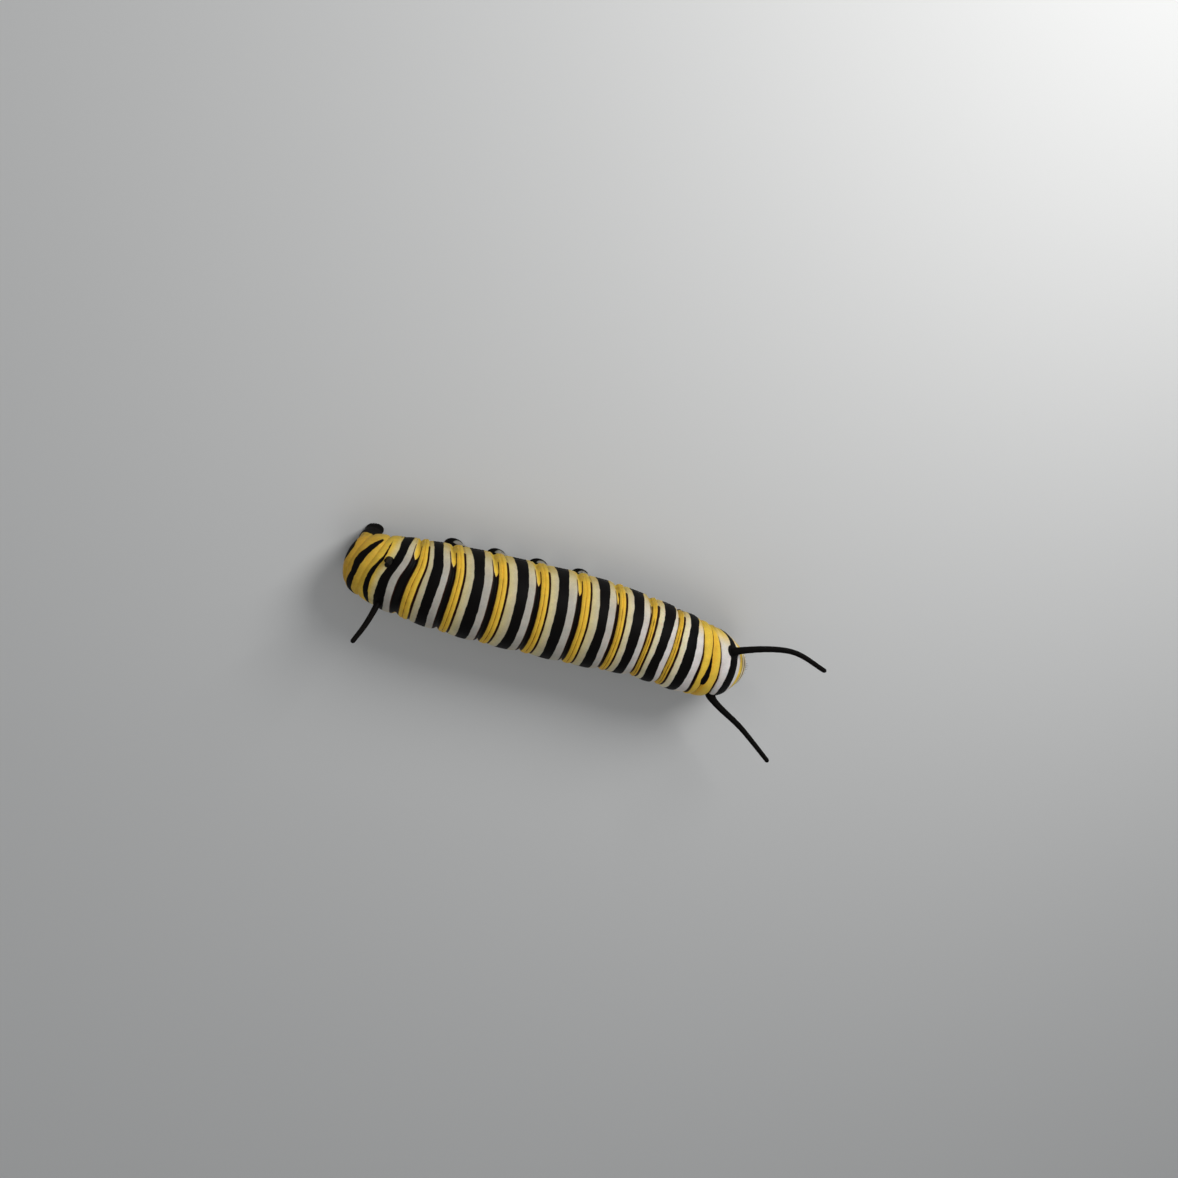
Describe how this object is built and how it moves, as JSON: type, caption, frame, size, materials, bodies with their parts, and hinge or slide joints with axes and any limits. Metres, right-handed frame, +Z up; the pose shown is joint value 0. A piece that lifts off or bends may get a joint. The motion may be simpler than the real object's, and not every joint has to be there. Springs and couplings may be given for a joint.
{
  "type": "monarch butterfly larva",
  "caption": "Still, life-size butterfly larva standing on its soft legs: ringed body with black, white and yellow bands, black head, legs and long feelers at both ends.",
  "frame": {"origin": "middle of the larva's box at floor level, under its soles", "axes": "+X towards the head, +Y to the larva's left, +Z up"},
  "size_m": [0.0416, 0.0118, 0.0095],
  "materials": {
    "banded_skin": "soft satin skin with crosswise bands of black, white and yellow",
    "black_skin": "soft satin black skin",
    "head_shell": "glossy black shell with yellow bands",
    "pale_lip": "smooth pale horn"
  },
  "bodies": {
    "root": {"abdomen_1": "banded_skin", "abdomen_10": "banded_skin", "abdomen_2": "banded_skin", "abdomen_3": "banded_skin", "abdomen_4": "banded_skin", "abdomen_5": "banded_skin", "abdomen_6": "banded_skin", "abdomen_7": "banded_skin", "abdomen_8": "banded_skin", "abdomen_9": "banded_skin", "antenna_l": "black_skin", "antenna_r": "black_skin", "filament_front_l": "black_skin", "filament_front_r": "black_skin", "filament_rear_l": "black_skin", "filament_rear_r": "black_skin", "head": "head_shell", "labium": "pale_lip", "labrum": "pale_lip", "leg_1_l": "black_skin", "leg_1_r": "black_skin", "leg_2_l": "black_skin", "leg_2_r": "black_skin", "leg_3_l": "black_skin", "leg_3_r": "black_skin", "mandible_l": "head_shell", "mandible_r": "head_shell", "proleg_10_l": "black_skin", "proleg_10_r": "black_skin", "proleg_3_l": "black_skin", "proleg_3_r": "black_skin", "proleg_4_l": "black_skin", "proleg_4_r": "black_skin", "proleg_5_l": "black_skin", "proleg_5_r": "black_skin", "proleg_6_l": "black_skin", "proleg_6_r": "black_skin", "thorax_1": "banded_skin", "thorax_2": "banded_skin", "thorax_3": "banded_skin"}
  },
  "joints": []
}
